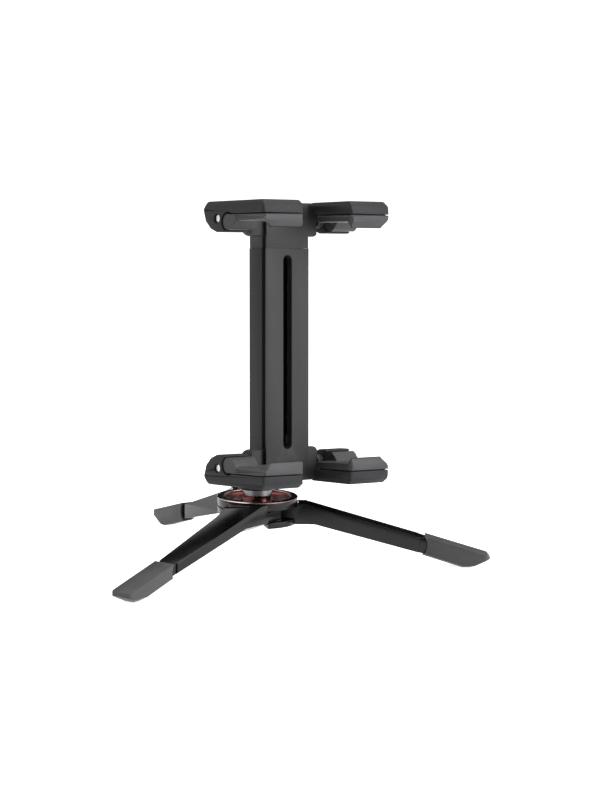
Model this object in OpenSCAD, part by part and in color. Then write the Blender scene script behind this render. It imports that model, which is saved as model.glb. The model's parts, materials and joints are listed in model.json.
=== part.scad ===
// Folding tabletop phone stand: a sprung phone clamp with four folding arms,
// carried by a small ball head on a hub with three short legs.
// Millimetres. The table is z = 0, the hub's axis is x = y = 0, the clamp's front faces -Y.

/* [Hub] */
// Height of the hub's underside above the table
hub_h = 9.9; // [9:0.1:13]
// Radius of the bright rim around the hub
rim_r = 9.65; // [9.3:0.05:10.4]
// Thickness of the base plate under the leg roots
plate_t = 1.4; // [1:0.1:2]
// Thickness of the part of a swinging leg that lies between plate and housing
lug_t = 2.3; // [1.8:0.1:2.8]
// Thickness of the housing above the leg roots
deck_t = 1.7; // [1.4:0.1:2.2]
// Thickness of the rim ring
bezel_t = 0.4; // [0.3:0.05:0.6]
// Outer radius of the red dish
dish_r = 8.1; // [7.6:0.1:8.6]

/* [Ball head] */
// Radius of the ball
ball_r = 4.1; // [3.9:0.05:4.15]
// Depth of the ball's centre below the rim's top
ball_sink = 2.2; // [2.1:0.05:2.3]
// Radius of the bright collar above the ball
collar_r = 3.5; // [3.3:0.05:3.8]
// Radius of the quarter-inch screw
screw_r = 3.175; // [3:0.005:3.2]
// Length of the quarter-inch screw above the collar
screw_l = 5.6; // [4:0.1:6]
// How far the clamp leans away from upright
lean_angle = 6.3; // [0:0.1:12]
// Compass direction of the lean, from +X towards +Y
lean_az = 55.6; // [0:1:90]

/* [Legs] */
// Radius of the circle on which the feet touch the table
foot_circle_r = 50.4; // [46:0.2:60]
// Width of a leg
leg_w = 5.4; // [4.8:0.1:5.8]
// Distance of a swinging leg's centre line from the hub's axis
leg_offset = 5.2; // [5:0.05:5.5]
// Height of a leg's top above the foot contact
toe_top_h = 4; // [3.4:0.1:4.6]
// Height of a leg's underside above the foot contact
toe_bottom_h = 0.5; // [0.4:0.1:0.8]
// Fall of a leg's top edge in degrees
top_slope = 15.6; // [14.6:0.1:16]
// Fall of a leg's bottom edge in degrees
bottom_slope = 14.5; // [13.5:0.1:15]
// Compass direction of the fixed leg
fixed_leg_az = -41.7; // [-50:0.1:-35]
// Angle that a swinging leg turns from open to folded
swing_angle = 125.9; // [124:0.1:127]
// Angle by which the rear leg stands short of its open stop
rear_leg_turn = 1.7; // [0:0.1:6]
// Radius of the hollow flank where a swinging leg widens to the hub
flare_r = 13.3; // [12:0.1:15]
// Radius of a leg's pivot pin
pivot_r = 0.75; // [0.6:0.05:0.9]
// Radius of the round end of a swinging leg
lug_r = 1.45; // [1.3:0.05:1.5]
// Gap between the legs when they are folded together
fold_gap = 0.5; // [0.4:0.05:0.8]

/* [Feet] */
// Length of a rubber boot
boot_l = 16.9; // [13:0.1:18]
// How far a boot reaches past the foot contact
boot_toe = 5.3; // [4:0.1:6]
// How far a boot stands above the leg's top
boot_wall = 0.45; // [0.35:0.05:0.6]
// How far a boot stands out at the leg's sides
boot_side = 0.12; // [0.05:0.01:0.2]
// Height of a boot's rounded toe
toe_h = 2.2; // [1.8:0.1:2.6]

/* [Column] */
// Width of the column
column_w = 12.88; // [12:0.1:14]
// Depth of the column from its front to its back
column_d = 6.22; // [6:0.02:7]
// Distance of the column's front from the screw's axis
front_y = 11.24; // [10.9:0.02:12]
// Height of the column's bottom above the ball's centre
column_base = 6.67; // [6.5:0.02:7]
// Height of the seam between the column and its sliding head
seam_h = 60.7; // [54:0.1:66]
// Height of the upper hinge pins above the seam
head_pin_h = 6.67; // [6.4:0.01:6.8]
// Height of the sliding head's top above the seam
head_l = 10.2; // [9.8:0.1:11]
// Thickness of the column's front cover
cover_t = 1; // [0.8:0.1:1.4]
// Thickness of the front cover at its side edges
cover_edge_t = 0.35; // [0.3:0.05:0.6]
// Width of the dark recess behind the cover's side edges
side_groove_w = 1.25; // [1:0.05:1.6]
// Depth of the dark recess
side_groove_d = 0.9; // [0.6:0.1:1]
// Width of the slot in the cover
slot_w = 2.6; // [2:0.1:3]
// Height of the slot's lower end above the ball's centre
slot_base = 13.7; // [13:0.1:16]
// Distance from the slot's upper end to the seam
slot_top_margin = 1.6; // [1:0.1:4]
// Radius of the boss that takes the screw
boss_r = 4.6; // [4.4:0.05:4.9]

/* [Jaws] */
// Height of the lower grip surface above the ball's centre
jaw_base = 10.63; // [10.4:0.02:11]
// Overall width across the arms
arms_w = 38.1; // [34:0.1:42]
// Gap between the column's side and an arm
arm_gap = 0.66; // [0.5:0.02:0.9]
// Reach of the arms in front of the column
arm_reach = 14.6; // [12.6:0.1:16]
// Height from a grip surface to the arm's outer face
arm_t = 4.83; // [4.6:0.02:5.1]
// Height from a grip surface to the hinge pin's axis
pin_above_grip = 0.66; // [0.5:0.02:0.8]
// Depth of the hinge pin's axis behind the column's front
pin_setback = 2.5; // [2.4:0.05:2.7]
// Height from a grip surface to the seam line of the arm
parting_above_grip = 1.8; // [1.6:0.02:2.2]
// Height of the lip beyond the grip surface
lip_h = 1.42; // [1:0.02:1.8]
// Radius of a hinge pin
arm_pin_r = 0.8; // [0.6:0.05:0.9]
// Radius of the hinge barrels beside the column
barrel_r = 4; // [3.8:0.05:4.15]
// Length of a hinge barrel
barrel_l = 3.5; // [3:0.1:3.7]
// Thickness of the friction washer between barrel and ear
arm_washer_t = 1.9; // [1:0.1:2.2]

/* [Hidden] */

$fn = 64;

// Overrun of every cut beyond the face that it opens
over = 1;
// Running fit of pins, ball and slider
fit = 0.05;
// Clearance between pieces that pass each other
pass = 0.25;

// Hub levels, from the plate's underside up
washer_lower_t = 0.2;
washer_upper_t = 0.3;
plate_top = hub_h + plate_t;
lug_base = plate_top + washer_lower_t;
lug_top = lug_base + lug_t;
deck_base = lug_top + washer_upper_t;
deck_top = deck_base + deck_t;
rim_top = deck_top + bezel_t;
ball_h = rim_top - ball_sink;

// Hub radii
rim_overhang = 0.15;
plate_r = rim_r - rim_overhang;
core_r = 4.75;
core_wall = 0.3;
bore_r = core_r - core_wall;
plate_sector = 144;
back_wall_sector = 80;
back_wall_t = 1.4;
back_wall_h = 1.5;
groove_depth = 0.5;
dish_seat_t = 0.4;
dish_floor_t = 0.4;
dish_rim_drop = 0.3;
dish_flange_t = 0.12;
dish_lip_r = 4.2;
dish_lip_h = 0.95;
dish_lip_slope = 0.5;
bowl_steps = 6;
plate_core_r = 5.2;
cap_t = 0.3;
spring_washer_t = 0.3;
spring_washer_r = 2.6;

// Ball, collar and screw
ball_foot = 2.6;
collar_base = 2;
collar_t = 1.7;
collar_edge = 0.2;
neck_r = 1.9;
neck_l = 3.2;

// Housing screws in the fixed leg's root
screw_y = 1.5;
screw_circle_r = (dish_r + plate_r) / 2;
screw_x = sqrt(screw_circle_r * screw_circle_r - screw_y * screw_y);
screw_top_margin = 0.4;
small_screw_r = 0.5;
small_head_r = 0.95;
small_head_t = 0.7;

// Leg geometry; a leg lies along +X of its own frame
foot_t = sqrt(foot_circle_r * foot_circle_r - leg_offset * leg_offset);
leg_end = -1.5;
fixed_top_h = 14.8;
swing_top_h = 15.7;
root_t = 5.5;
root_round = 3;
flare_t = 19;
flare_reach = 1.7;
belly_h = 1.45;
belly_w = 2.9;
twist_t = 38;
outer_slope = 19;
outer_roll = 20;
swing_clear_r = 5.1;
rim_clear_r = rim_r + pass / 2;
pivot_inset = 1.5;
pivot_y = leg_w / 2 + fold_gap + pivot_inset;
pivot_n = leg_offset + leg_w / 2 - pivot_inset;
pivot_x = (pivot_n + pivot_y * cos(swing_angle)) / sin(swing_angle);
pivot_t = pivot_x * cos(swing_angle) + pivot_y * sin(swing_angle);
pivot_head_r = 1.3;
pivot_head_t = 0.6;
pivot_tip = 0.3;
tongue_inset = 0.4;
boot_flat = 1.4;
boot_top_drop = 0.7;
boot_toe_top = 3;
boot_corner = 1.6;
boot_edge_h = 0.6;
boot_edge_w = 1.2;
boot_mouth_r = 3.6;
boot_mouth_d = 1.9;

// Column; the clamp's frame has the ball's centre at its origin
half_w = column_w / 2;
back_y = front_y - column_d;
cover_back = front_y - cover_t;
groove_back = front_y - cover_edge_t - side_groove_w;
head_side_gap = 0.12;
head_gap = 0.02;
cavity_w = 9.2;
cavity_d = 3.6;
rail_back_t = 0.9;
cavity_back = back_y + rail_back_t;
cavity_base = 14.6;
tongue_w = 5.2;
tongue_t = 2;
tongue_base = 17;
tongue_socket = 5.2;
spring_r = 0.9;
spring_x = 3.6;
spring_tab = 1.2;
boss_base = 3.75;
boss_top = 11;
insert_wall = 0.7;
insert_base = 4.2;
insert_top = 10.4;
cover_screw_x = 2.6;
cover_screw_h = 12.7;
slider_screw_x = 1.6;
slider_screw_h = 2.6;
slider_screw_l = 2.7;

// Jaws
pin_low = jaw_base - pin_above_grip;
pin_high = seam_h + head_pin_h;
pin_y = front_y - pin_setback;
arm_in = half_w + arm_gap;
arm_w = arms_w / 2 - arm_in;
ear_in = half_w + barrel_l + arm_washer_t - arm_in;
lip_fwd = arm_reach + pin_setback;
top_u = arm_t - pin_above_grip;
rear_drop = 0.2;
top_u_rear = top_u - rear_drop;
part_u = parting_above_grip - pin_above_grip;
grip_u = -pin_above_grip;
lip_u = grip_u - lip_h;
barrel_clear_r = 4.6;
barrel_flat = 0.1;
barrel_edge = 0.4;
rear_top_y = 4;
rear_y = 5;
rear_u = 2.1;
rear_low_y = 4.2;
rear_low_u = -0.6;
ear_back_y = 2.4;
ear_back_u = -2.3;
ear_low_y = 0.2;
ear_low_u = -3.15;
ear_front_y = 2.4;
pad_end_y = 3.9;
pad_end_u = -0.8;
pad_end_r = 1.85;
pad_groove = 0.45;
heel_y = 4.6;
heel_foot_y = 6.6;
front_back = 1.4;
lip_back = 1.6;
lip_mid = 0.9;
lip_front = 0.5;
corner_cut = 0.6;
pad_tongue_inset = 0.6;
pad_tongue_t = 0.2;
pin_inner = 3;
pin_recess = 0.5;
pin_hole_r = 1.1;

// Cross-section of an arm seen from the front: insets of its edges from the arm's sides
top_in_inner = 0.5;
shoulder_in_inner = 0.15;
lip_in_inner = 0.5;
top_in_outer = 0.8;
shoulder_in_outer = 0.25;
waist_in_outer = 0.9;
lip_in_outer = 2.5;
shoulder_drop = 1.1;
waist_u = -0.4;

// Height of a leg's top and bottom edges at distance t along the leg
function leg_top(t) = toe_top_h + (foot_t - t) * tan(top_slope);
function leg_bottom(t) = toe_bottom_h + (foot_t - t) * tan(bottom_slope);
function top_reach(h) = foot_t - (h - toe_top_h) / tan(top_slope);
function bottom_reach(h) = foot_t - (h - toe_bottom_h) / tan(bottom_slope);

// Places a piece on the leaning clamp: the ball's centre becomes the origin
module clamp_place() {
    translate([0, 0, ball_h])
        rotate(a = lean_angle, v = [-sin(lean_az), cos(lean_az), 0])
            children();
}

// Frame of the fixed leg, which lies along +X
module fixed_frame() {
    rotate([0, 0, fixed_leg_az])
        children();
}

// Frame of a swinging leg, with +Y towards the fixed leg; side 1 is left, -1 is rear
module swing_frame(side) {
    fixed_frame()
        if (side > 0)
            rotate([0, 0, -swing_angle])
                children();
        else
            mirror([0, 1, 0])
                translate([pivot_x, -pivot_y, 0])
                    rotate([0, 0, rear_leg_turn])
                        translate([-pivot_x, pivot_y, 0])
                            rotate([0, 0, -swing_angle])
                                children();
}

// Upright outline in X and Z, extruded from y = high down to y = low
module side_slab(low, high) {
    translate([0, high, 0])
        rotate([90, 0, 0])
            linear_extrude(high - low)
                children();
}

// Ring about the Z axis
module ring(outer, inner, low, high) {
    translate([0, 0, low])
        difference() {
            cylinder(r = outer, h = high - low);
            translate([0, 0, -over])
                cylinder(r = inner, h = high - low + 2 * over);
        }
}

// Wedge of a disc, centred on +X, as a prism
module sector(angle, reach, low, high) {
    translate([0, 0, low])
        linear_extrude(high - low)
            polygon([[0, 0],
                [reach * cos(angle / 2), -reach * sin(angle / 2)],
                [2 * reach, -reach * sin(angle / 2)],
                [2 * reach, reach * sin(angle / 2)],
                [reach * cos(angle / 2), reach * sin(angle / 2)]]);
}

// Base of the hub: the outline of the plate on the fixed leg's side
module base_plate() {
    intersection() {
        translate([0, 0, hub_h])
            cylinder(r = plate_r, h = plate_t);
        sector(plate_sector, 2 * rim_r, hub_h - over, plate_top + over);
    }
    translate([0, 0, hub_h])
        cylinder(r = plate_core_r, h = plate_t);
}

module pivot_places() {
    for (side = [1, -1])
        fixed_frame()
            translate([pivot_x, -side * pivot_y, 0])
                children();
}

module housing_screw_places() {
    for (side = [1, -1])
        fixed_frame()
            translate([screw_x, side * screw_y, 0])
                children();
}

module hub_housing() {
    color("#141416")
        difference() {
            union() {
                translate([0, 0, deck_base])
                    cylinder(r = plate_r, h = deck_t);
                translate([0, 0, plate_top])
                    cylinder(r = core_r, h = deck_base - plate_top);
                rotate([0, 0, fixed_leg_az + 180])
                    intersection() {
                        union() {
                            ring(plate_r, plate_r - back_wall_t, lug_top - back_wall_h, lug_top);
                            ring(plate_r - groove_depth, plate_r - back_wall_t, lug_top, deck_base);
                        }
                        sector(back_wall_sector, 2 * rim_r, 0, rim_top);
                    }
            }
            translate([0, 0, hub_h])
                cylinder(r = bore_r, h = rim_top);
            translate([0, 0, deck_base + dish_seat_t])
                cylinder(r = dish_r, h = rim_top);
            pivot_places()
                cylinder(r = pivot_r + fit, h = deck_base + pivot_tip);
            housing_screw_places()
                cylinder(r = small_screw_r, h = deck_top - screw_top_margin + fit);
        }
}

module rim_ring() {
    color("#8d8f92")
        translate([0, 0, deck_top])
            rotate_extrude()
                polygon([[dish_r, dish_flange_t], [rim_r - bezel_t / 2, dish_flange_t],
                    [rim_r, bezel_t / 2 + dish_flange_t / 2], [rim_r - bezel_t / 2, bezel_t],
                    [dish_r, bezel_t]]);
}

// Red dish: seated in the deck, holds the ball down, and its flange lies under the rim ring
module retaining_dish() {
    seat = deck_base + dish_seat_t;
    floor_h = seat + dish_floor_t;
    foot_r = dish_lip_r + dish_lip_slope;
    rise = rim_top - dish_rim_drop - floor_h;
    bowl = dish_r - foot_r;
    color("#a2442f")
        difference() {
            rotate_extrude()
                polygon(concat([[bore_r / 2, seat], [dish_r, seat], [dish_r, deck_top],
                    [plate_r, deck_top], [plate_r, deck_top + dish_flange_t],
                    [dish_r, deck_top + dish_flange_t]],
                    [for (a = [90 : -90 / bowl_steps : 90 / bowl_steps])
                        [foot_r + bowl * sin(a), floor_h + rise * (1 - cos(a))]],
                    [[foot_r, floor_h], [dish_lip_r, ball_h + dish_lip_h],
                        [bore_r / 2, ball_h + dish_lip_h]]));
            translate([0, 0, ball_h])
                sphere(r = ball_r + fit);
        }
}

module ball_seat() {
    low = hub_h + cap_t + spring_washer_t;
    color("#d8d5cc")
        difference() {
            translate([0, 0, low])
                cylinder(r = bore_r - fit, h = deck_base + dish_seat_t - fit - low);
            translate([0, 0, ball_h])
                sphere(r = ball_r + fit);
            translate([0, 0, ball_h])
                cylinder(r = ball_r + fit, h = rim_top);
        }
}

module seat_spring_washer() {
    low = hub_h + cap_t;
    color("#9a9b9d")
        ring(bore_r - 2 * fit, spring_washer_r, low, low + spring_washer_t);
}

module hub_bottom_cap() {
    color("#1b1b1d")
        translate([0, 0, hub_h])
            cylinder(r = bore_r - fit, h = cap_t);
}

// Ball, flat at its foot and under the collar, bored for the stud
module ball() {
    color("#8e3b2c")
        clamp_place()
            difference() {
                intersection() {
                    sphere(r = ball_r);
                    translate([0, 0, -ball_foot])
                        cylinder(r = ball_r + over, h = ball_foot + collar_base);
                }
                translate([0, 0, collar_base - neck_l])
                    cylinder(r = neck_r, h = neck_l + over);
            }
}

module ball_stud() {
    color("#b9bbbe")
        clamp_place()
            union() {
                translate([0, 0, collar_base])
                    cylinder(r1 = collar_r - collar_edge, r2 = collar_r, h = collar_edge);
                translate([0, 0, collar_base + collar_edge])
                    cylinder(r = collar_r, h = collar_t - 2 * collar_edge);
                translate([0, 0, collar_base + collar_t - collar_edge])
                    cylinder(r1 = collar_r, r2 = collar_r - collar_edge, h = collar_edge);
                translate([0, 0, collar_base - neck_l])
                    cylinder(r = neck_r, h = neck_l + collar_t);
                translate([0, 0, collar_base + collar_t])
                    cylinder(r = screw_r, h = screw_l);
            }
}

module housing_screws() {
    color("#77787b")
        housing_screw_places() {
            translate([0, 0, hub_h])
                cylinder(r = small_head_r - fit, h = small_head_t - fit);
            translate([0, 0, hub_h])
                cylinder(r = small_screw_r, h = deck_top - screw_top_margin - hub_h);
        }
}

// Plain side outline of a leg, from its root at t = low to its end inside the boot
module leg_outline(low, high_h) {
    far = foot_t + leg_end;
    polygon([[low, hub_h], [bottom_reach(hub_h), hub_h], [far, leg_bottom(far)],
        [far, leg_top(far)], [top_reach(high_h), high_h], [low, high_h]]);
}

// Recess on both sides of a leg where the boot's side walls lie
module boot_recess(middle) {
    start = foot_t + boot_toe - boot_l;
    half = leg_w / 2 - tongue_inset;
    for (low = [middle + half, middle - half - tongue_inset - over])
        translate([start, low, 0])
            cube([boot_l, tongue_inset + over, fixed_top_h]);
}

// Everything below a slanting face that bevels the lower edge on the side y = edge.
// The edge passes through (t, z) and falls along the leg.
module edge_cut(t, z, fall, edge, side, wide, high) {
    deep = rim_top;
    translate([t, edge, z])
        rotate([0, fall, 0])
            flip_if(side < 0, [0, 1, 0])
                translate([-foot_circle_r, 0, 0])
                    rotate([90, 0, 90])
                        linear_extrude(2 * foot_circle_r)
                            polygon([[-wide * (1 + deep / high), -deep], [over, -deep],
                                [over, high + over * high / wide]]);
}

// Shaved lower edge on the inner side of a swinging leg
module belly_cut(edge) {
    knee = bottom_reach(hub_h);
    intersection() {
        edge_cut(knee, hub_h, 0, edge, 1, belly_w, belly_h);
        edge_cut(knee, hub_h, bottom_slope, edge, 1, belly_w, belly_h);
    }
}

module leg_fixed() {
    color("#121214")
        difference() {
            fixed_frame()
                difference() {
                    union() {
                        side_slab(-leg_w / 2, leg_w / 2)
                            leg_outline(0, fixed_top_h);
                        base_plate();
                    }
                    translate([0, 0, deck_base])
                        cylinder(r = rim_clear_r, h = rim_top);
                    translate([0, 0, plate_top])
                        cylinder(r = core_r, h = rim_top);
                    cylinder(r = bore_r, h = rim_top);
                    boot_recess(0);
                }
            pivot_places() {
                cylinder(r = pivot_r, h = rim_top);
                cylinder(r = pivot_head_r + fit, h = hub_h + pivot_head_t);
            }
            housing_screw_places() {
                cylinder(r = small_screw_r + fit, h = rim_top);
                cylinder(r = small_head_r, h = hub_h + small_head_t);
            }
        }
}

// The part of a swinging leg that is clamped between plate and housing
module swing_lug() {
    reach = root_t + root_round;
    translate([0, 0, lug_base])
        linear_extrude(lug_t)
            polygon([[pivot_t, pivot_n + lug_r], [reach, pivot_n + lug_r], [reach, -flare_reach],
                [core_r + lug_r / 2, -flare_reach], [pivot_t, pivot_n - lug_r]]);
    translate([pivot_t, pivot_n, lug_base])
        cylinder(r = lug_r, h = lug_t);
}

// Everything above the top of a swinging leg, which climbs more along its outer side
module above_leg(n_out, n_in) {
    far = foot_t + boot_toe;
    intersection() {
        side_slab(-flare_reach - over, n_in + over)
            polygon([[0, leg_top(0)], [far, leg_top(far)], [far, 2 * swing_top_h],
                [0, 2 * swing_top_h]]);
        translate([twist_t, n_out, leg_top(twist_t)])
            rotate([-outer_roll, outer_slope, 0])
                translate([-foot_circle_r, -foot_circle_r, 0])
                    cube([2 * foot_circle_r, 2 * foot_circle_r, foot_circle_r]);
    }
}

module swing_leg_solid() {
    n_in = leg_offset + leg_w / 2;
    n_out = leg_offset - leg_w / 2;
    wide = n_in + flare_reach;
    far = foot_t + leg_end;
    difference() {
        union() {
            difference() {
                side_slab(-flare_reach, n_in)
                    polygon([[root_t, hub_h], [bottom_reach(hub_h), hub_h],
                        [far, leg_bottom(far)], [far, swing_top_h], [root_t, swing_top_h]]);
                above_leg(n_out, n_in);
                translate([flare_t, n_out - flare_r, 0])
                    cylinder(r = flare_r, h = rim_top, $fn = 96);
                translate([flare_t, n_out - flare_r, 0])
                    cube([foot_circle_r, flare_r, rim_top]);
                difference() {
                    translate([root_t - over, -flare_reach - over, hub_h - over])
                        cube([root_round + over, wide + 2 * over, root_round + over]);
                    translate([root_t + root_round, -flare_reach - 2 * over, hub_h + root_round])
                        rotate([-90, 0, 0])
                            cylinder(r = root_round, h = wide + 4 * over);
                }
                translate([pivot_t, pivot_n, 0])
                    cylinder(r = swing_clear_r, h = lug_base);
                translate([pivot_t, pivot_n, lug_top])
                    cylinder(r = swing_clear_r, h = rim_top);
                translate([0, 0, lug_top])
                    cylinder(r = rim_clear_r, h = rim_top);
                boot_recess(leg_offset);
                belly_cut(n_in);
            }
            swing_lug();
        }
        cylinder(r = core_r + pass, h = rim_top);
        translate([pivot_t, pivot_n, 0])
            cylinder(r = pivot_r + fit, h = rim_top);
    }
}

module leg_left() {
    color("#121214")
        swing_frame(1)
            swing_leg_solid();
}

module leg_rear() {
    color("#121214")
        swing_frame(-1)
            swing_leg_solid();
}

module leg_pivot_pins() {
    color("#8d8f92")
        pivot_places() {
            translate([0, 0, hub_h])
                cylinder(r = pivot_head_r, h = pivot_head_t);
            translate([0, 0, hub_h])
                cylinder(r = pivot_r, h = deck_base + pivot_tip - hub_h);
        }
}

module leg_washers(low, high) {
    color("#d8d5cc")
        pivot_places()
            ring(lug_r - fit, pivot_r + fit, low, high);
}

// Hollow of a boot, filled by the end of the leg
module boot_hollow(middle, swings) {
    half = leg_w / 2 - tongue_inset;
    difference() {
        side_slab(middle - half, middle + half)
            leg_outline(root_t, fixed_top_h);
        if (swings)
            belly_cut(middle + leg_w / 2);
    }
}

// A rubber boot on a leg whose centre line is at y = middle
module boot(middle, swings) {
    start = foot_t + boot_toe - boot_l;
    tip = foot_t + boot_toe;
    half = leg_w / 2 + boot_side;
    heel_z = leg_bottom(start) - boot_wall;
    flat_t = foot_t - boot_flat;
    mouth_z = (leg_bottom(start) + leg_top(start)) / 2;
    fall = atan(heel_z / (flat_t - start));
    color("#3a3b3d")
        difference() {
            intersection() {
                side_slab(middle - half, middle + half)
                    polygon([[start, heel_z], [flat_t, 0], [foot_t + boot_flat / 4, 0],
                        [tip, toe_h], [tip - boot_top_drop, boot_toe_top],
                        [start, leg_top(start) + boot_wall]]);
                union() {
                    translate([start - over, middle - half - over, -over])
                        cube([boot_l - boot_corner + over, 2 * half + 2 * over, rim_top]);
                    translate([tip - boot_corner - over, middle - half + boot_corner, -over])
                        cube([boot_corner + over, 2 * half - 2 * boot_corner, rim_top]);
                    for (side = [-1, 1])
                        translate([tip - boot_corner, middle + side * (half - boot_corner), -over])
                            cylinder(r = boot_corner, h = rim_top);
                }
            }
            boot_hollow(middle, swings);
            translate([start + boot_mouth_d - boot_mouth_r, middle + half + over, mouth_z])
                rotate([90, 0, 0])
                    cylinder(r = boot_mouth_r, h = 2 * half + 2 * over);
            for (side = swings ? [1] : [-1, 1]) {
                wide = swings ? belly_w : boot_edge_w;
                high = swings ? belly_h : boot_edge_h;
                edge_cut(flat_t, 0, fall, middle + side * half, side, wide, high);
                edge_cut(flat_t, 0, 0, middle + side * half, side, wide, high);
            }
        }
}

module foot_boot_fixed() {
    fixed_frame()
        boot(0, false);
}

module foot_boot_left() {
    swing_frame(1)
        boot(leg_offset, true);
}

module foot_boot_rear() {
    swing_frame(-1)
        boot(leg_offset, true);
}

// Cross-section block of the column, with its dark side recesses, between two heights
module column_block(width, low, high) {
    translate([-width / 2, -groove_back, low])
        cube([width, groove_back - back_y, high - low]);
    translate([-width / 2 + side_groove_d, -cover_back, low])
        cube([width - 2 * side_groove_d, cover_back - back_y, high - low]);
}

// Front plate of the column: thin at its side edges, full behind them
module front_plate(width, low, high) {
    translate([-width / 2, -front_y, low])
        cube([width, cover_edge_t, high - low]);
    translate([-width / 2 + side_groove_d, -front_y, low])
        cube([width - 2 * side_groove_d, cover_t, high - low]);
}

// Long slot of the column between two heights, as deep as asked
module slot(low, high, depth) {
    translate([-slot_w / 2, -front_y - over, low + slot_w / 2])
        cube([slot_w, depth + over, high - low - slot_w]);
    for (h = [low + slot_w / 2, high - slot_w / 2])
        translate([0, -front_y - over, h])
            rotate([-90, 0, 0])
                cylinder(r = slot_w / 2, h = depth + over);
}

// Hinge barrels on both sides of the column at height h
module barrels(width, h) {
    intersection() {
        translate([-width / 2 - barrel_l, -pin_y, h])
            rotate([0, 90, 0])
                union() {
                    translate([0, 0, barrel_edge])
                        cylinder(r = barrel_r, h = width + 2 * barrel_l - 2 * barrel_edge);
                    cylinder(r1 = barrel_r - barrel_edge, r2 = barrel_r, h = barrel_edge);
                    translate([0, 0, width + 2 * barrel_l - barrel_edge])
                        cylinder(r1 = barrel_r, r2 = barrel_r - barrel_edge, h = barrel_edge);
                }
        translate([-arms_w, -cover_back + barrel_flat, h - 2 * barrel_r])
            cube([2 * arms_w, column_d + barrel_r, 4 * barrel_r]);
        difference() {
            translate([-arms_w, -2 * front_y, h - 2 * barrel_r])
                cube([2 * arms_w, 4 * front_y, 4 * barrel_r]);
            translate([-width / 2 + side_groove_d, -2 * front_y, h - 3 * barrel_r])
                cube([width - 2 * side_groove_d, 4 * front_y, 6 * barrel_r]);
        }
    }
}

// Pin bores on both sides of the column at height h
module pin_bores(h, r) {
    for (side = [-1, 1])
        translate([side * pin_inner, -pin_y, h])
            rotate([0, side * 90, 0])
                cylinder(r = r, h = arms_w);
}

module rail_body() {
    slot_top = seam_h - slot_top_margin;
    color("#232427")
        clamp_place()
            difference() {
                union() {
                    column_block(column_w, column_base, seam_h - head_gap);
                    barrels(column_w, pin_low);
                    translate([0, 0, boss_base])
                        cylinder(r = boss_r, h = boss_top - boss_base);
                    translate([-boss_r, -back_y, column_base])
                        cube([2 * boss_r, back_y, boss_top - column_base]);
                }
                translate([-cavity_w / 2, -cavity_back - cavity_d, cavity_base])
                    cube([cavity_w, cavity_d, seam_h]);
                slot(slot_base, slot_top, front_y - cavity_back);
                translate([0, 0, -over])
                    cylinder(r = boss_r - insert_wall, h = insert_top + over);
                pin_bores(pin_low, arm_pin_r);
                for (side = [-1, 1])
                    translate([side * cover_screw_x, -back_y, cover_screw_h]) {
                        rotate([90, 0, 0])
                            cylinder(r = small_screw_r, h = column_d);
                        translate([0, over, 0])
                            rotate([90, 0, 0])
                                cylinder(r = small_head_r, h = small_head_t + over);
                    }
            }
}

module rail_cover() {
    slot_top = seam_h - slot_top_margin;
    color("#2c2d30")
        clamp_place()
            difference() {
                front_plate(column_w, column_base, seam_h - head_gap);
                slot(slot_base, slot_top, cover_t + over);
                for (side = [-1, 1])
                    translate([side * cover_screw_x, -cover_back + over, cover_screw_h])
                        rotate([90, 0, 0])
                            cylinder(r = small_screw_r, h = cover_t / 2 + over);
            }
}

module cover_screws() {
    color("#77787b")
        clamp_place()
            for (side = [-1, 1])
                translate([side * cover_screw_x, -back_y, cover_screw_h])
                    rotate([90, 0, 0])
                        union() {
                            cylinder(r = small_head_r - fit, h = small_head_t);
                            cylinder(r = small_screw_r, h = column_d - cover_t / 2 - fit);
                        }
}

module threaded_insert() {
    color("#b08d4a")
        clamp_place()
            ring(boss_r - insert_wall, screw_r + fit, insert_base, insert_top);
}

module slider_head() {
    head_w = column_w - 2 * head_side_gap;
    color("#2a2b2e")
        clamp_place()
            difference() {
                union() {
                    front_plate(head_w, seam_h, seam_h + head_l);
                    column_block(head_w, seam_h, seam_h + head_l);
                    barrels(head_w, pin_high);
                }
                translate([-tongue_w / 2 - fit, -cavity_back - tongue_t, seam_h - over])
                    cube([tongue_w + 2 * fit, tongue_t, tongue_socket + over]);
                pin_bores(pin_high, arm_pin_r);
                for (side = [-1, 1])
                    translate([side * slider_screw_x, -back_y, seam_h + slider_screw_h]) {
                        rotate([90, 0, 0])
                            cylinder(r = small_screw_r + fit, h = slider_screw_l);
                        translate([0, over, 0])
                            rotate([90, 0, 0])
                                cylinder(r = small_head_r, h = small_head_t + over);
                    }
            }
}

// Bar that hangs from the sliding head inside the column, with a tab for each spring
module slider_tongue() {
    tongue_top = seam_h + tongue_socket - fit;
    color("#1c1c1e")
        clamp_place()
            difference() {
                union() {
                    translate([-tongue_w / 2, -cavity_back - tongue_t + fit, tongue_base])
                        cube([tongue_w, tongue_t - 2 * fit, tongue_top - tongue_base]);
                    translate([-cavity_w / 2 + fit, -cavity_back - tongue_t + fit,
                        seam_h - head_gap - 2 * spring_tab])
                        cube([cavity_w - 2 * fit, tongue_t - 2 * fit, spring_tab]);
                }
                for (side = [-1, 1])
                    translate([side * slider_screw_x, -back_y, seam_h + slider_screw_h])
                        rotate([90, 0, 0])
                            cylinder(r = small_screw_r, h = slider_screw_l);
            }
}

module slider_screws() {
    color("#77787b")
        clamp_place()
            for (side = [-1, 1])
                translate([side * slider_screw_x, -back_y, seam_h + slider_screw_h])
                    rotate([90, 0, 0])
                        union() {
                            cylinder(r = small_head_r - fit, h = small_head_t);
                            cylinder(r = small_screw_r, h = slider_screw_l - fit);
                        }
}

// The pair of return springs, closed inside the column, as plain tubes
module return_springs() {
    low = cavity_base;
    color("#9a9b9d")
        clamp_place()
            for (side = [-1, 1])
                translate([side * spring_x, -cavity_back - tongue_t / 2, low])
                    cylinder(r = spring_r, h = seam_h - head_gap - 2 * spring_tab - low);
}

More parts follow.
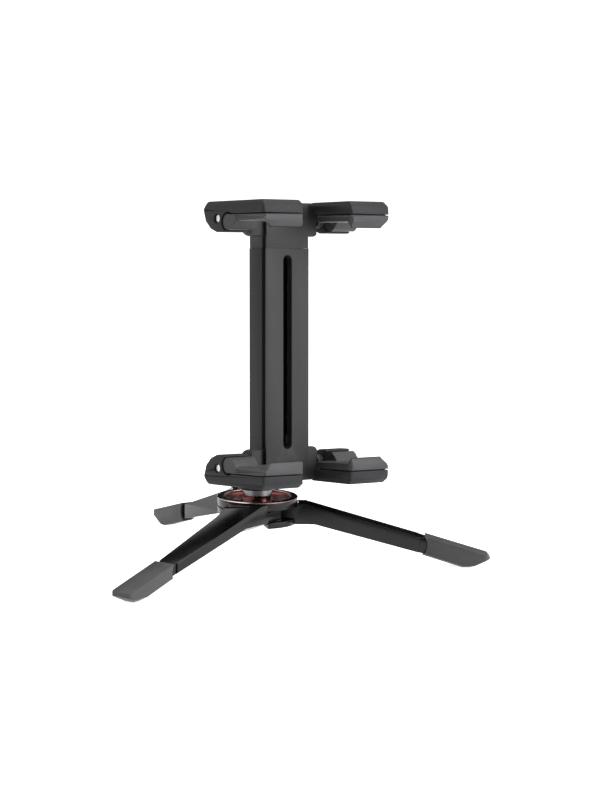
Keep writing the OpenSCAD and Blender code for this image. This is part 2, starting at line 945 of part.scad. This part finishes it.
// Places a piece on one hinge: side 1 is +X, level 1 is the upper jaw.
// The arm's inner side is x = 0, its front points to -Y and its outer face is up.
module arm_place(side, level) {
    clamp_place()
        translate([0, -pin_y, level > 0 ? pin_high : pin_low])
            flip_if(side < 0, [1, 0, 0])
                flip_if(level < 0, [0, 0, 1])
                    translate([arm_in, 0, 0])
                        children();
}

module flip_if(flip, axis) {
    if (flip)
        mirror(axis)
            children();
    else
        children();
}

// Side outline in Y and Z, extruded along X from low to high
module arm_slab(low, high) {
    translate([low, 0, 0])
        rotate([90, 0, 90])
            linear_extrude(high - low)
                children();
}

// Arm's outline seen from above, with both front corners cut off
module arm_plan() {
    translate([0, 0, ear_low_u - over])
        linear_extrude(top_u - ear_low_u + 2 * over)
            polygon([[0, rear_y + over], [0, corner_cut - lip_fwd], [corner_cut, -lip_fwd],
                [arm_w - corner_cut, -lip_fwd], [arm_w, corner_cut - lip_fwd],
                [arm_w, rear_y + over]]);
}

// Extrudes an outline seen from the front along the arm's whole length
module arm_length() {
    translate([0, rear_y + over, 0])
        rotate([90, 0, 0])
            linear_extrude(lip_fwd + rear_y + 2 * over)
                children();
}

// Hard outer half of an arm with its ear
module arm_shell() {
    color("#2f3033")
        difference() {
            intersection() {
                arm_slab(0, arm_w)
                    polygon([[-lip_fwd, part_u], [-lip_fwd + front_back / 4, top_u - shoulder_drop],
                        [-lip_fwd + front_back, top_u], [rear_top_y, top_u_rear],
                        [rear_y, rear_u], [rear_low_y, rear_low_u], [ear_back_y, ear_back_u],
                        [ear_low_y, ear_low_u], [-ear_front_y, ear_low_u],
                        [-pad_end_y, pad_end_u], [-pad_end_y, part_u]]);
                arm_length()
                    polygon([[top_in_inner, top_u], [shoulder_in_inner, top_u - shoulder_drop],
                        [0, part_u], [0, ear_low_u - over], [arm_w, ear_low_u - over],
                        [arm_w, part_u], [arm_w - shoulder_in_outer, top_u - shoulder_drop],
                        [arm_w - top_in_outer, top_u]]);
                arm_plan();
            }
            translate([-over, 0, 0])
                rotate([0, 90, 0])
                    cylinder(r = barrel_clear_r, h = ear_in + over);
            translate([-over, -pad_end_y - over, ear_low_u - over])
                cube([ear_in + over, pad_end_y + rear_y + 2 * over, part_u - ear_low_u + over]);
            translate([-over, 0, ear_low_u - over])
                cube([ear_in + over, rear_y + over, top_u - ear_low_u + 2 * over]);
            translate([-over, -pad_end_y, pad_end_u])
                rotate([0, 90, 0])
                    cylinder(r = pad_end_r + pad_groove, h = arm_w + 2 * over);
            rotate([0, 90, 0])
                cylinder(r = arm_pin_r + fit, h = arm_w + over);
            translate([arm_w - pin_recess, 0, 0])
                rotate([0, 90, 0])
                    cylinder(r = pin_hole_r, h = pin_recess + over);
        }
}

// Soft inner half of an arm: grip surface, lip and the heel with its round end at the ear
module arm_pad() {
    top = part_u - pad_tongue_t;
    low = pad_end_u - pad_end_r;
    color("#3c3d40")
        difference() {
            union() {
                intersection() {
                    arm_slab(0, arm_w)
                        polygon([[-pad_end_y, top], [-pad_end_y, grip_u],
                            [-lip_fwd + lip_back, grip_u], [-lip_fwd + lip_mid, lip_u],
                            [-lip_fwd + lip_front, lip_u], [-lip_fwd, grip_u], [-lip_fwd, top]]);
                    arm_length()
                        polygon([[0, top + over], [0, grip_u], [lip_in_inner, lip_u],
                            [arm_w - lip_in_outer, lip_u], [arm_w - waist_in_outer, waist_u],
                            [arm_w, part_u], [arm_w, top + over]]);
                    arm_plan();
                }
                arm_slab(ear_in, arm_w - shoulder_in_outer)
                    polygon([[-pad_end_y, top], [-pad_end_y, low], [-heel_y, low],
                        [-heel_foot_y, grip_u], [-heel_foot_y, top]]);
                intersection() {
                    arm_slab(ear_in, arm_w - shoulder_in_outer)
                        polygon([[-heel_foot_y, top], [-heel_foot_y, low - over],
                            [rear_y, low - over], [rear_y, top]]);
                    translate([0, -pad_end_y, pad_end_u])
                        rotate([0, 90, 0])
                            cylinder(r = pad_end_r, h = arm_w);
                }
                translate([pad_tongue_inset, -lip_fwd + pad_tongue_inset, 0])
                    cube([arm_w - 2 * pad_tongue_inset, lip_fwd - barrel_clear_r - 2 * pad_tongue_inset,
                        part_u]);
            }
            translate([-over, 0, 0])
                rotate([0, 90, 0])
                    cylinder(r = barrel_clear_r, h = ear_in + over);
        }
}

module arm_pins(level) {
    h = level > 0 ? pin_high : pin_low;
    reach = arms_w / 2 - pin_recess + fit;
    color("#c8c9cb")
        clamp_place()
            for (side = [-1, 1])
                translate([side * pin_inner, -pin_y, h])
                    rotate([0, side * 90, 0])
                        cylinder(r = arm_pin_r, h = reach - pin_inner);
}

// Spring washers that fill the gap between the barrels and the arms' ears
module arm_washers(level) {
    h = level > 0 ? pin_high : pin_low;
    inner = half_w + barrel_l + fit;
    outer = arm_in + ear_in - fit;
    color("#17171a")
        clamp_place()
            for (side = [-1, 1])
                translate([side * inner, -pin_y, h])
                    rotate([0, side * 90, 0])
                        ring(barrel_r / 2, arm_pin_r + fit, 0, outer - inner);
}

hub_housing();
rim_ring();
retaining_dish();
ball_seat();
seat_spring_washer();
hub_bottom_cap();
ball();
ball_stud();
housing_screws();
leg_fixed();
leg_left();
leg_rear();
leg_pivot_pins();
leg_washers(plate_top, lug_base);  // leg_washers_lower
leg_washers(lug_top, deck_base);  // leg_washers_upper
foot_boot_fixed();
foot_boot_left();
foot_boot_rear();
rail_body();
rail_cover();
cover_screws();
threaded_insert();
slider_head();
slider_tongue();
slider_screws();
return_springs();
arm_place(-1, 1) arm_shell();  // arm_upper_left
arm_place(1, 1) arm_shell();  // arm_upper_right
arm_place(-1, -1) arm_shell();  // arm_lower_left
arm_place(1, -1) arm_shell();  // arm_lower_right
arm_place(-1, 1) arm_pad();  // pad_upper_left
arm_place(1, 1) arm_pad();  // pad_upper_right
arm_place(-1, -1) arm_pad();  // pad_lower_left
arm_place(1, -1) arm_pad();  // pad_lower_right
arm_pins(1);  // arm_pins_upper
arm_pins(-1);  // arm_pins_lower
arm_washers(1);  // arm_washers_upper
arm_washers(-1);  // arm_washers_lower
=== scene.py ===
"""Looks of the folding tabletop phone stand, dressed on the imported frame."""
import json
from collections import namedtuple
from math import cos, radians, sin

import bmesh
import bpy
from mathutils import Matrix, Vector


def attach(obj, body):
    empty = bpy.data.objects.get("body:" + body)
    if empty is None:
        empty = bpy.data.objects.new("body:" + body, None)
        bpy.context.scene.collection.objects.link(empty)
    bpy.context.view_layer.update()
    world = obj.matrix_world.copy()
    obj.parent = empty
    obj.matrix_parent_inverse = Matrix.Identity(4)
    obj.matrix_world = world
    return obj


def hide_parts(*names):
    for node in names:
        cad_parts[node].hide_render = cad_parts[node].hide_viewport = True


MM = 0.001

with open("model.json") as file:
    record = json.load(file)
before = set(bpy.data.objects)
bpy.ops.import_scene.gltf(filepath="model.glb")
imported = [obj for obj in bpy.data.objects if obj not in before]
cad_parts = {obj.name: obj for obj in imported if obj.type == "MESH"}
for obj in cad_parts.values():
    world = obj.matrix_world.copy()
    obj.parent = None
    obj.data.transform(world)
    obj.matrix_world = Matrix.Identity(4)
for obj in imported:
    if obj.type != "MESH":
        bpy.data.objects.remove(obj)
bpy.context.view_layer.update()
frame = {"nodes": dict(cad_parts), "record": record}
nodes = frame["nodes"]
body_of_node = {n: b for b, names in frame["record"]["behaviour"]["bodies"].items() for n in names}
slot_of_node = {s["node"]: s["material_slot"] for s in frame["record"]["subparts"]}

# The view: a camera fitted to the photograph
VIEW_AZIMUTH = radians(40)
VIEW_PITCH = radians(8.9)
VIEW_ROLL = radians(0.62)
CAMERA_SIDE = 9.85 * MM
CAMERA_BACK = 620.85 * MM
CAMERA_HEIGHT = 136.45 * MM
FOCAL_PIXELS = 2662
PHOTO_HEIGHT = 800
SENSOR = 36
CLIP_NEAR = 0.01
CLIP_FAR = 20

# The studio, in metres: white surroundings, three soft boxes, and black cards before and behind the object
AMBIENT = 0.12
FLOOR_WIDTH = 60
FLOOR_LIFT = 0.9
FLOOR_CLEARANCE = 0.05 * MM
FLOOR_SHADE = 0.9
FLOOR_ROUGHNESS = 0.9
FLOOR_SHINE = 0.1
CARD_WIDTH = 1.5
CARD_SHADE = 0.004
CARD_ROUGHNESS = 0.9
AIM = Vector((0, 0, 0.04))

# A card's name: how far away it stands, and its height
CARDS = {
    "front_flag": (-0.95, 1.3),
    "back_flag": (1.0, 1.1),
}

# A soft box's name: right, away and up, its width and length, and its power in watts
SOFT_BOXES = {
    "right_box": ((0.9, -0.3, 0.5), (0.7, 0.9), 10.2),
    "left_box": ((-0.9, 0.0, 0.45), (0.5, 0.9), 1.0),
    "top_box": ((0.0, 0.1, 1.0), (1.3, 1.3), 8.0),
}

# Where noise, which gathers about its middle, starts and ends to tell
NOISE_START = 0.35
NOISE_END = 0.65
NOISE_ROUGHNESS = 0.55

# Rounded copies of the CAD meshes
MESH_WELD = 0.002 * MM
COPY_WELD = 0.001 * MM
FLAT_ANGLE = radians(0.3)
SHARP_ANGLE = radians(30)
ROUNDING_STEPS = 3
LONG_EDGE = 1.6 * MM

# How far each node's edges are rounded, in millimetres; the shortest edge of a mesh can hold it back
EDGE_ROUNDING = {
    "leg_fixed": 0.35, "leg_left": 0.3, "leg_rear": 0.3,
    "foot_boot_fixed": 0.4, "foot_boot_left": 0.4, "foot_boot_rear": 0.4,
    "hub_housing": 0.1, "rim_ring": 0.06,
    "rail_body": 0.15, "rail_cover": 0.18, "slider_head": 0.2,
}
CORNERS = ("upper_left", "upper_right", "lower_left", "lower_right")
EDGE_ROUNDING.update({"arm_" + corner: 0.25 for corner in CORNERS})
EDGE_ROUNDING.update({"pad_" + corner: 0.35 for corner in CORNERS})


def turned(right, away, height):
    """A point of the photographer's ground frame in the row frame."""
    c, s = cos(VIEW_AZIMUTH), sin(VIEW_AZIMUTH)
    return Vector((right * c + away * s, -right * s + away * c, height))


def make_camera():
    data = bpy.data.cameras.new("camera")
    data.sensor_width = SENSOR
    data.lens = FOCAL_PIXELS * SENSOR / PHOTO_HEIGHT
    data.clip_start, data.clip_end = CLIP_NEAR, CLIP_FAR
    camera = bpy.data.objects.new("camera", data)
    bpy.context.scene.collection.objects.link(camera)
    right = turned(1, 0, 0)
    away = turned(0, 1, 0)
    up = Vector((0, 0, 1))
    forward = away * cos(VIEW_PITCH) - up * sin(VIEW_PITCH)
    above = away * sin(VIEW_PITCH) + up * cos(VIEW_PITCH)
    rolled_right = right * cos(VIEW_ROLL) + above * sin(VIEW_ROLL)
    rolled_up = above * cos(VIEW_ROLL) - right * sin(VIEW_ROLL)
    turn = Matrix((rolled_right, rolled_up, -forward)).transposed().to_4x4()
    camera.matrix_world = Matrix.Translation(turned(CAMERA_SIDE, -CAMERA_BACK, CAMERA_HEIGHT)) @ turn
    bpy.context.scene.camera = camera


# Materials
def shade(colour, factor):
    return tuple(c * factor for c in colour)


class Nodes:
    """A short way to write a node tree."""

    def __init__(self, name):
        self.material = bpy.data.materials.new(name)
        self.material.use_nodes = True
        self.tree = self.material.node_tree
        self.shader = self.tree.nodes["Principled BSDF"]
        self.place = self.add("ShaderNodeTexCoord").outputs["Object"]

    def add(self, kind, **inputs):
        node = self.tree.nodes.new(kind)
        for name, value in inputs.items():
            self.put(node.inputs[name], value)
        return node

    def put(self, socket, value):
        if isinstance(value, bpy.types.NodeSocket):
            self.tree.links.new(value, socket)
        else:
            socket.default_value = value

    def noise(self, size, detail, place=None):
        """Noise whose features are about that many metres wide."""
        return self.add("ShaderNodeTexNoise", Vector=place or self.place, Scale=1 / size,
                        Detail=detail, Roughness=NOISE_ROUGHNESS).outputs["Fac"]

    def axis_distance(self):
        """How far a point is from the hub's axis, as a place for noise."""
        split = self.add("ShaderNodeSeparateXYZ", Vector=self.place)
        flat = self.add("ShaderNodeCombineXYZ", X=split.outputs["X"], Y=split.outputs["Y"])
        reach = self.add("ShaderNodeVectorMath", Vector=flat.outputs["Vector"])
        reach.operation = "LENGTH"
        return self.add("ShaderNodeCombineXYZ", X=reach.outputs["Value"]).outputs["Vector"]

    def spread(self, factor, low, high, start=NOISE_START, end=NOISE_END):
        node = self.add("ShaderNodeMapRange", Value=factor)
        node.inputs["From Min"].default_value = start
        node.inputs["From Max"].default_value = end
        node.inputs["To Min"].default_value = low
        node.inputs["To Max"].default_value = high
        return node.outputs["Result"]

    def drifting(self, factor, colour, drift):
        """The colour, a little darker and lighter by turns."""
        ramp = self.add("ShaderNodeValToRGB", Fac=factor)
        ends = ((NOISE_START, 1 - drift), (NOISE_END, 1 + drift))
        for element, (position, level) in zip(ramp.color_ramp.elements, ends):
            element.position = position
            element.color = (*shade(colour, level), 1)
        return ramp.outputs["Color"]

    def bump(self, height, depth, strength):
        node = self.add("ShaderNodeBump", Height=height, Strength=strength, Distance=depth)
        return node.outputs["Normal"]

    def set(self, **inputs):
        for name, value in inputs.items():
            self.put(self.shader.inputs[name.replace("_", " ")], value)


# A kind of surface: size and detail of its cloudiness, how far that shifts colour and roughness,
# size and detail of its grain, and how deep and strong that grain is
Surface = namedtuple("Surface", "cloud cloud_detail drift smoother rougher grain grain_detail depth strength")
PLASTIC = Surface(6 * MM, 3, 0.07, 0.04, 0.04, 0.12 * MM, 2, 0.006 * MM, 0.6)
RUBBER = Surface(4 * MM, 4, 0.1, 0.05, 0.05, 0.18 * MM, 3, 0.012 * MM, 0.7)
COAT = Surface(10 * MM, 3, 0.15, 0.03, 0.04, 1.2 * MM, 2, 0.008 * MM, 0.5)
TURNED = Surface(4 * MM, 3, 0.08, 0.05, 0.08, 0.16 * MM, 2, 0.004 * MM, 0.5)
METAL = Surface(1.5 * MM, 4, 0.06, 0.05, 0.06, None, None, 0.004 * MM, 0.4)


def finish(name, surface, colour, rough, shine=None):
    """A material of that kind of surface; it is metal when no shine is given."""
    n = Nodes(name)
    cloud = n.noise(surface.cloud, surface.cloud_detail)
    grain = cloud
    worn = cloud
    if surface is TURNED:
        grain = n.noise(surface.grain, surface.grain_detail, n.axis_distance())
        worn = grain
    elif surface.grain:
        grain = n.noise(surface.grain, surface.grain_detail)
    n.set(
        Base_Color=n.drifting(cloud, colour, surface.drift),
        Roughness=n.spread(worn, rough - surface.smoother, rough + surface.rougher),
        Normal=n.bump(grain, surface.depth, surface.strength),
    )
    if shine is None:
        n.set(Metallic=1.0)
    else:
        n.set(Specular_IOR_Level=shine)
    return n.material


# A slot's name: surface, colour, roughness and shine
FINISHES = {
    "cast_black": (COAT, (0.004, 0.004, 0.0045), 0.22, 0.3),
    "housing_black": (COAT, (0.005, 0.005, 0.0055), 0.25, 0.3),
    "rim_bright": (TURNED, (0.58, 0.56, 0.57), 0.16),
    "dish_red": (TURNED, (0.13, 0.032, 0.028), 0.25),
    "ball_red": (TURNED, (0.10, 0.032, 0.03), 0.22),
    "liner_nylon": (PLASTIC, (0.75, 0.74, 0.70), 0.5, 0.5),
    "steel": (METAL, (0.56, 0.56, 0.57), 0.3),
    "chrome_stud": (TURNED, (0.18, 0.175, 0.175), 0.22),
    "boot_rubber": (RUBBER, (0.062, 0.062, 0.064), 0.5, 0.4),
    # The column's own plastic, made lighter than the cover's as painted light on the column's left side,
    # which the weak left box leaves dark
    "column_plastic": (PLASTIC, (0.046, 0.046, 0.048), 0.5, 0.15),
    "cover_plastic": (PLASTIC, (0.033, 0.033, 0.035), 0.5, 0.25),
    "arm_plastic": (PLASTIC, (0.042, 0.042, 0.045), 0.4, 0.1),
    "pad_rubber": (RUBBER, (0.066, 0.066, 0.069), 0.45, 0.25),
    "insert_brass": (METAL, (0.72, 0.54, 0.27), 0.35),
    # The tongue's own dark plastic, made near-black and dull as painted shade for the slot it shows through
    "tongue_plastic": (PLASTIC, (0.006, 0.006, 0.0065), 0.6, 0.1),
    "spring_steel": (METAL, (0.45, 0.45, 0.46), 0.35),
    "washer_black": (PLASTIC, (0.015, 0.015, 0.016), 0.6, 0.5),
}
MATERIALS = {name: finish(name, *parts) for name, parts in FINISHES.items()}


# Dressing of the nodes
def edges_to_round(mesh, long_only):
    """The sharp edges, or only those of them that are convex and long."""
    sharp = [e for e in mesh.edges if len(e.link_faces) == 2 and e.calc_face_angle(0) > SHARP_ANGLE]
    if long_only:
        return [e for e in sharp if e.is_convex and e.calc_length() > LONG_EDGE]
    return sharp


def dress(name, width):
    """Stands in for a CAD node with a copy whose edges are rounded by width millimetres."""
    long_only = name.startswith(("arm_", "pad_"))
    mesh = bmesh.new()
    mesh.from_mesh(nodes[name].data)
    bmesh.ops.remove_doubles(mesh, verts=mesh.verts, dist=MESH_WELD)
    bmesh.ops.dissolve_limit(mesh, angle_limit=FLAT_ANGLE, verts=mesh.verts, edges=mesh.edges)
    bmesh.ops.bevel(mesh, geom=edges_to_round(mesh, long_only), offset=width * MM,
                    segments=ROUNDING_STEPS, profile=0.5, affect="EDGES", clamp_overlap=not long_only)
    bmesh.ops.remove_doubles(mesh, verts=mesh.verts, dist=COPY_WELD)
    data = bpy.data.meshes.new(name + "_skin")
    mesh.to_mesh(data)
    mesh.free()
    for face in data.polygons:
        face.use_smooth = True
    data.set_sharp_from_angle(angle=SHARP_ANGLE)
    piece = bpy.data.objects.new(name + "_skin", data)
    bpy.context.scene.collection.objects.link(piece)
    data.materials.append(MATERIALS[slot_of_node[name]])
    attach(piece, body_of_node[name])
    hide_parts(name)


def dress_all():
    for name, node in nodes.items():
        if name in EDGE_ROUNDING:
            dress(name, EDGE_ROUNDING[name])
        else:
            node.data.materials.clear()
            node.data.materials.append(MATERIALS[slot_of_node[name]])


# Studio
def seen_rays(tree):
    """1 for rays that show the white surroundings: camera, glossy and transmission rays."""
    path = tree.nodes.new("ShaderNodeLightPath")
    last = path.outputs["Is Camera Ray"]
    for name in ("Is Glossy Ray", "Is Transmission Ray"):
        either = tree.nodes.new("ShaderNodeMath")
        either.operation = "MAXIMUM"
        tree.links.new(last, either.inputs[0])
        tree.links.new(path.outputs[name], either.inputs[1])
        last = either.outputs[0]
    return last


def make_floor():
    bpy.ops.mesh.primitive_plane_add(size=FLOOR_WIDTH, location=(0, 0, -FLOOR_CLEARANCE))
    floor = bpy.context.active_object
    floor.name = "floor"
    n = Nodes("floor")
    n.set(
        Base_Color=(FLOOR_SHADE, FLOOR_SHADE, FLOOR_SHADE, 1),
        Roughness=FLOOR_ROUGHNESS,
        Specular_IOR_Level=FLOOR_SHINE,
        Emission_Color=(1, 1, 1, 1),
        Emission_Strength=n.spread(seen_rays(n.tree), 0.0, FLOOR_LIFT, 0, 1),
    )
    floor.data.materials.append(n.material)


def make_world():
    world = bpy.data.worlds.new("world")
    world.use_nodes = True
    tree = world.node_tree
    back = tree.nodes["Background"]
    level = tree.nodes.new("ShaderNodeMapRange")
    tree.links.new(seen_rays(tree), level.inputs["Value"])
    level.inputs["To Min"].default_value = AMBIENT
    level.inputs["To Max"].default_value = 1.0
    tree.links.new(level.outputs["Result"], back.inputs["Strength"])
    back.inputs["Color"].default_value = (1, 1, 1, 1)
    bpy.context.scene.world = world


def make_flag(name, away, height):
    """A black card that only shiny surfaces see, so that they have dark parts."""
    bpy.ops.mesh.primitive_plane_add(size=1)
    flag = bpy.context.active_object
    flag.name = name
    flag.scale = (CARD_WIDTH, height, 1)
    flag.rotation_euler = (radians(90), 0, -VIEW_AZIMUTH)
    flag.location = turned(0, away, height / 2)
    flag.visible_camera = False
    flag.visible_diffuse = False
    flag.visible_shadow = False
    n = Nodes(name)
    n.set(
        Base_Color=(CARD_SHADE, CARD_SHADE, CARD_SHADE, 1),
        Roughness=CARD_ROUGHNESS,
        Specular_IOR_Level=0.0,
    )
    flag.data.materials.append(n.material)


def make_light(name, place, size, power):
    data = bpy.data.lights.new(name, "AREA")
    data.shape = "RECTANGLE"
    data.size, data.size_y = size
    data.energy = power
    light = bpy.data.objects.new(name, data)
    bpy.context.scene.collection.objects.link(light)
    light.location = turned(*place)
    light.rotation_mode = "QUATERNION"
    light.rotation_quaternion = (AIM - light.location).to_track_quat("-Z", "Y")


make_camera()
dress_all()
make_floor()
make_world()
for card, setting in CARDS.items():
    make_flag(card, *setting)
for box, setting in SOFT_BOXES.items():
    make_light(box, *setting)
bpy.context.scene.view_settings.view_transform = "Standard"
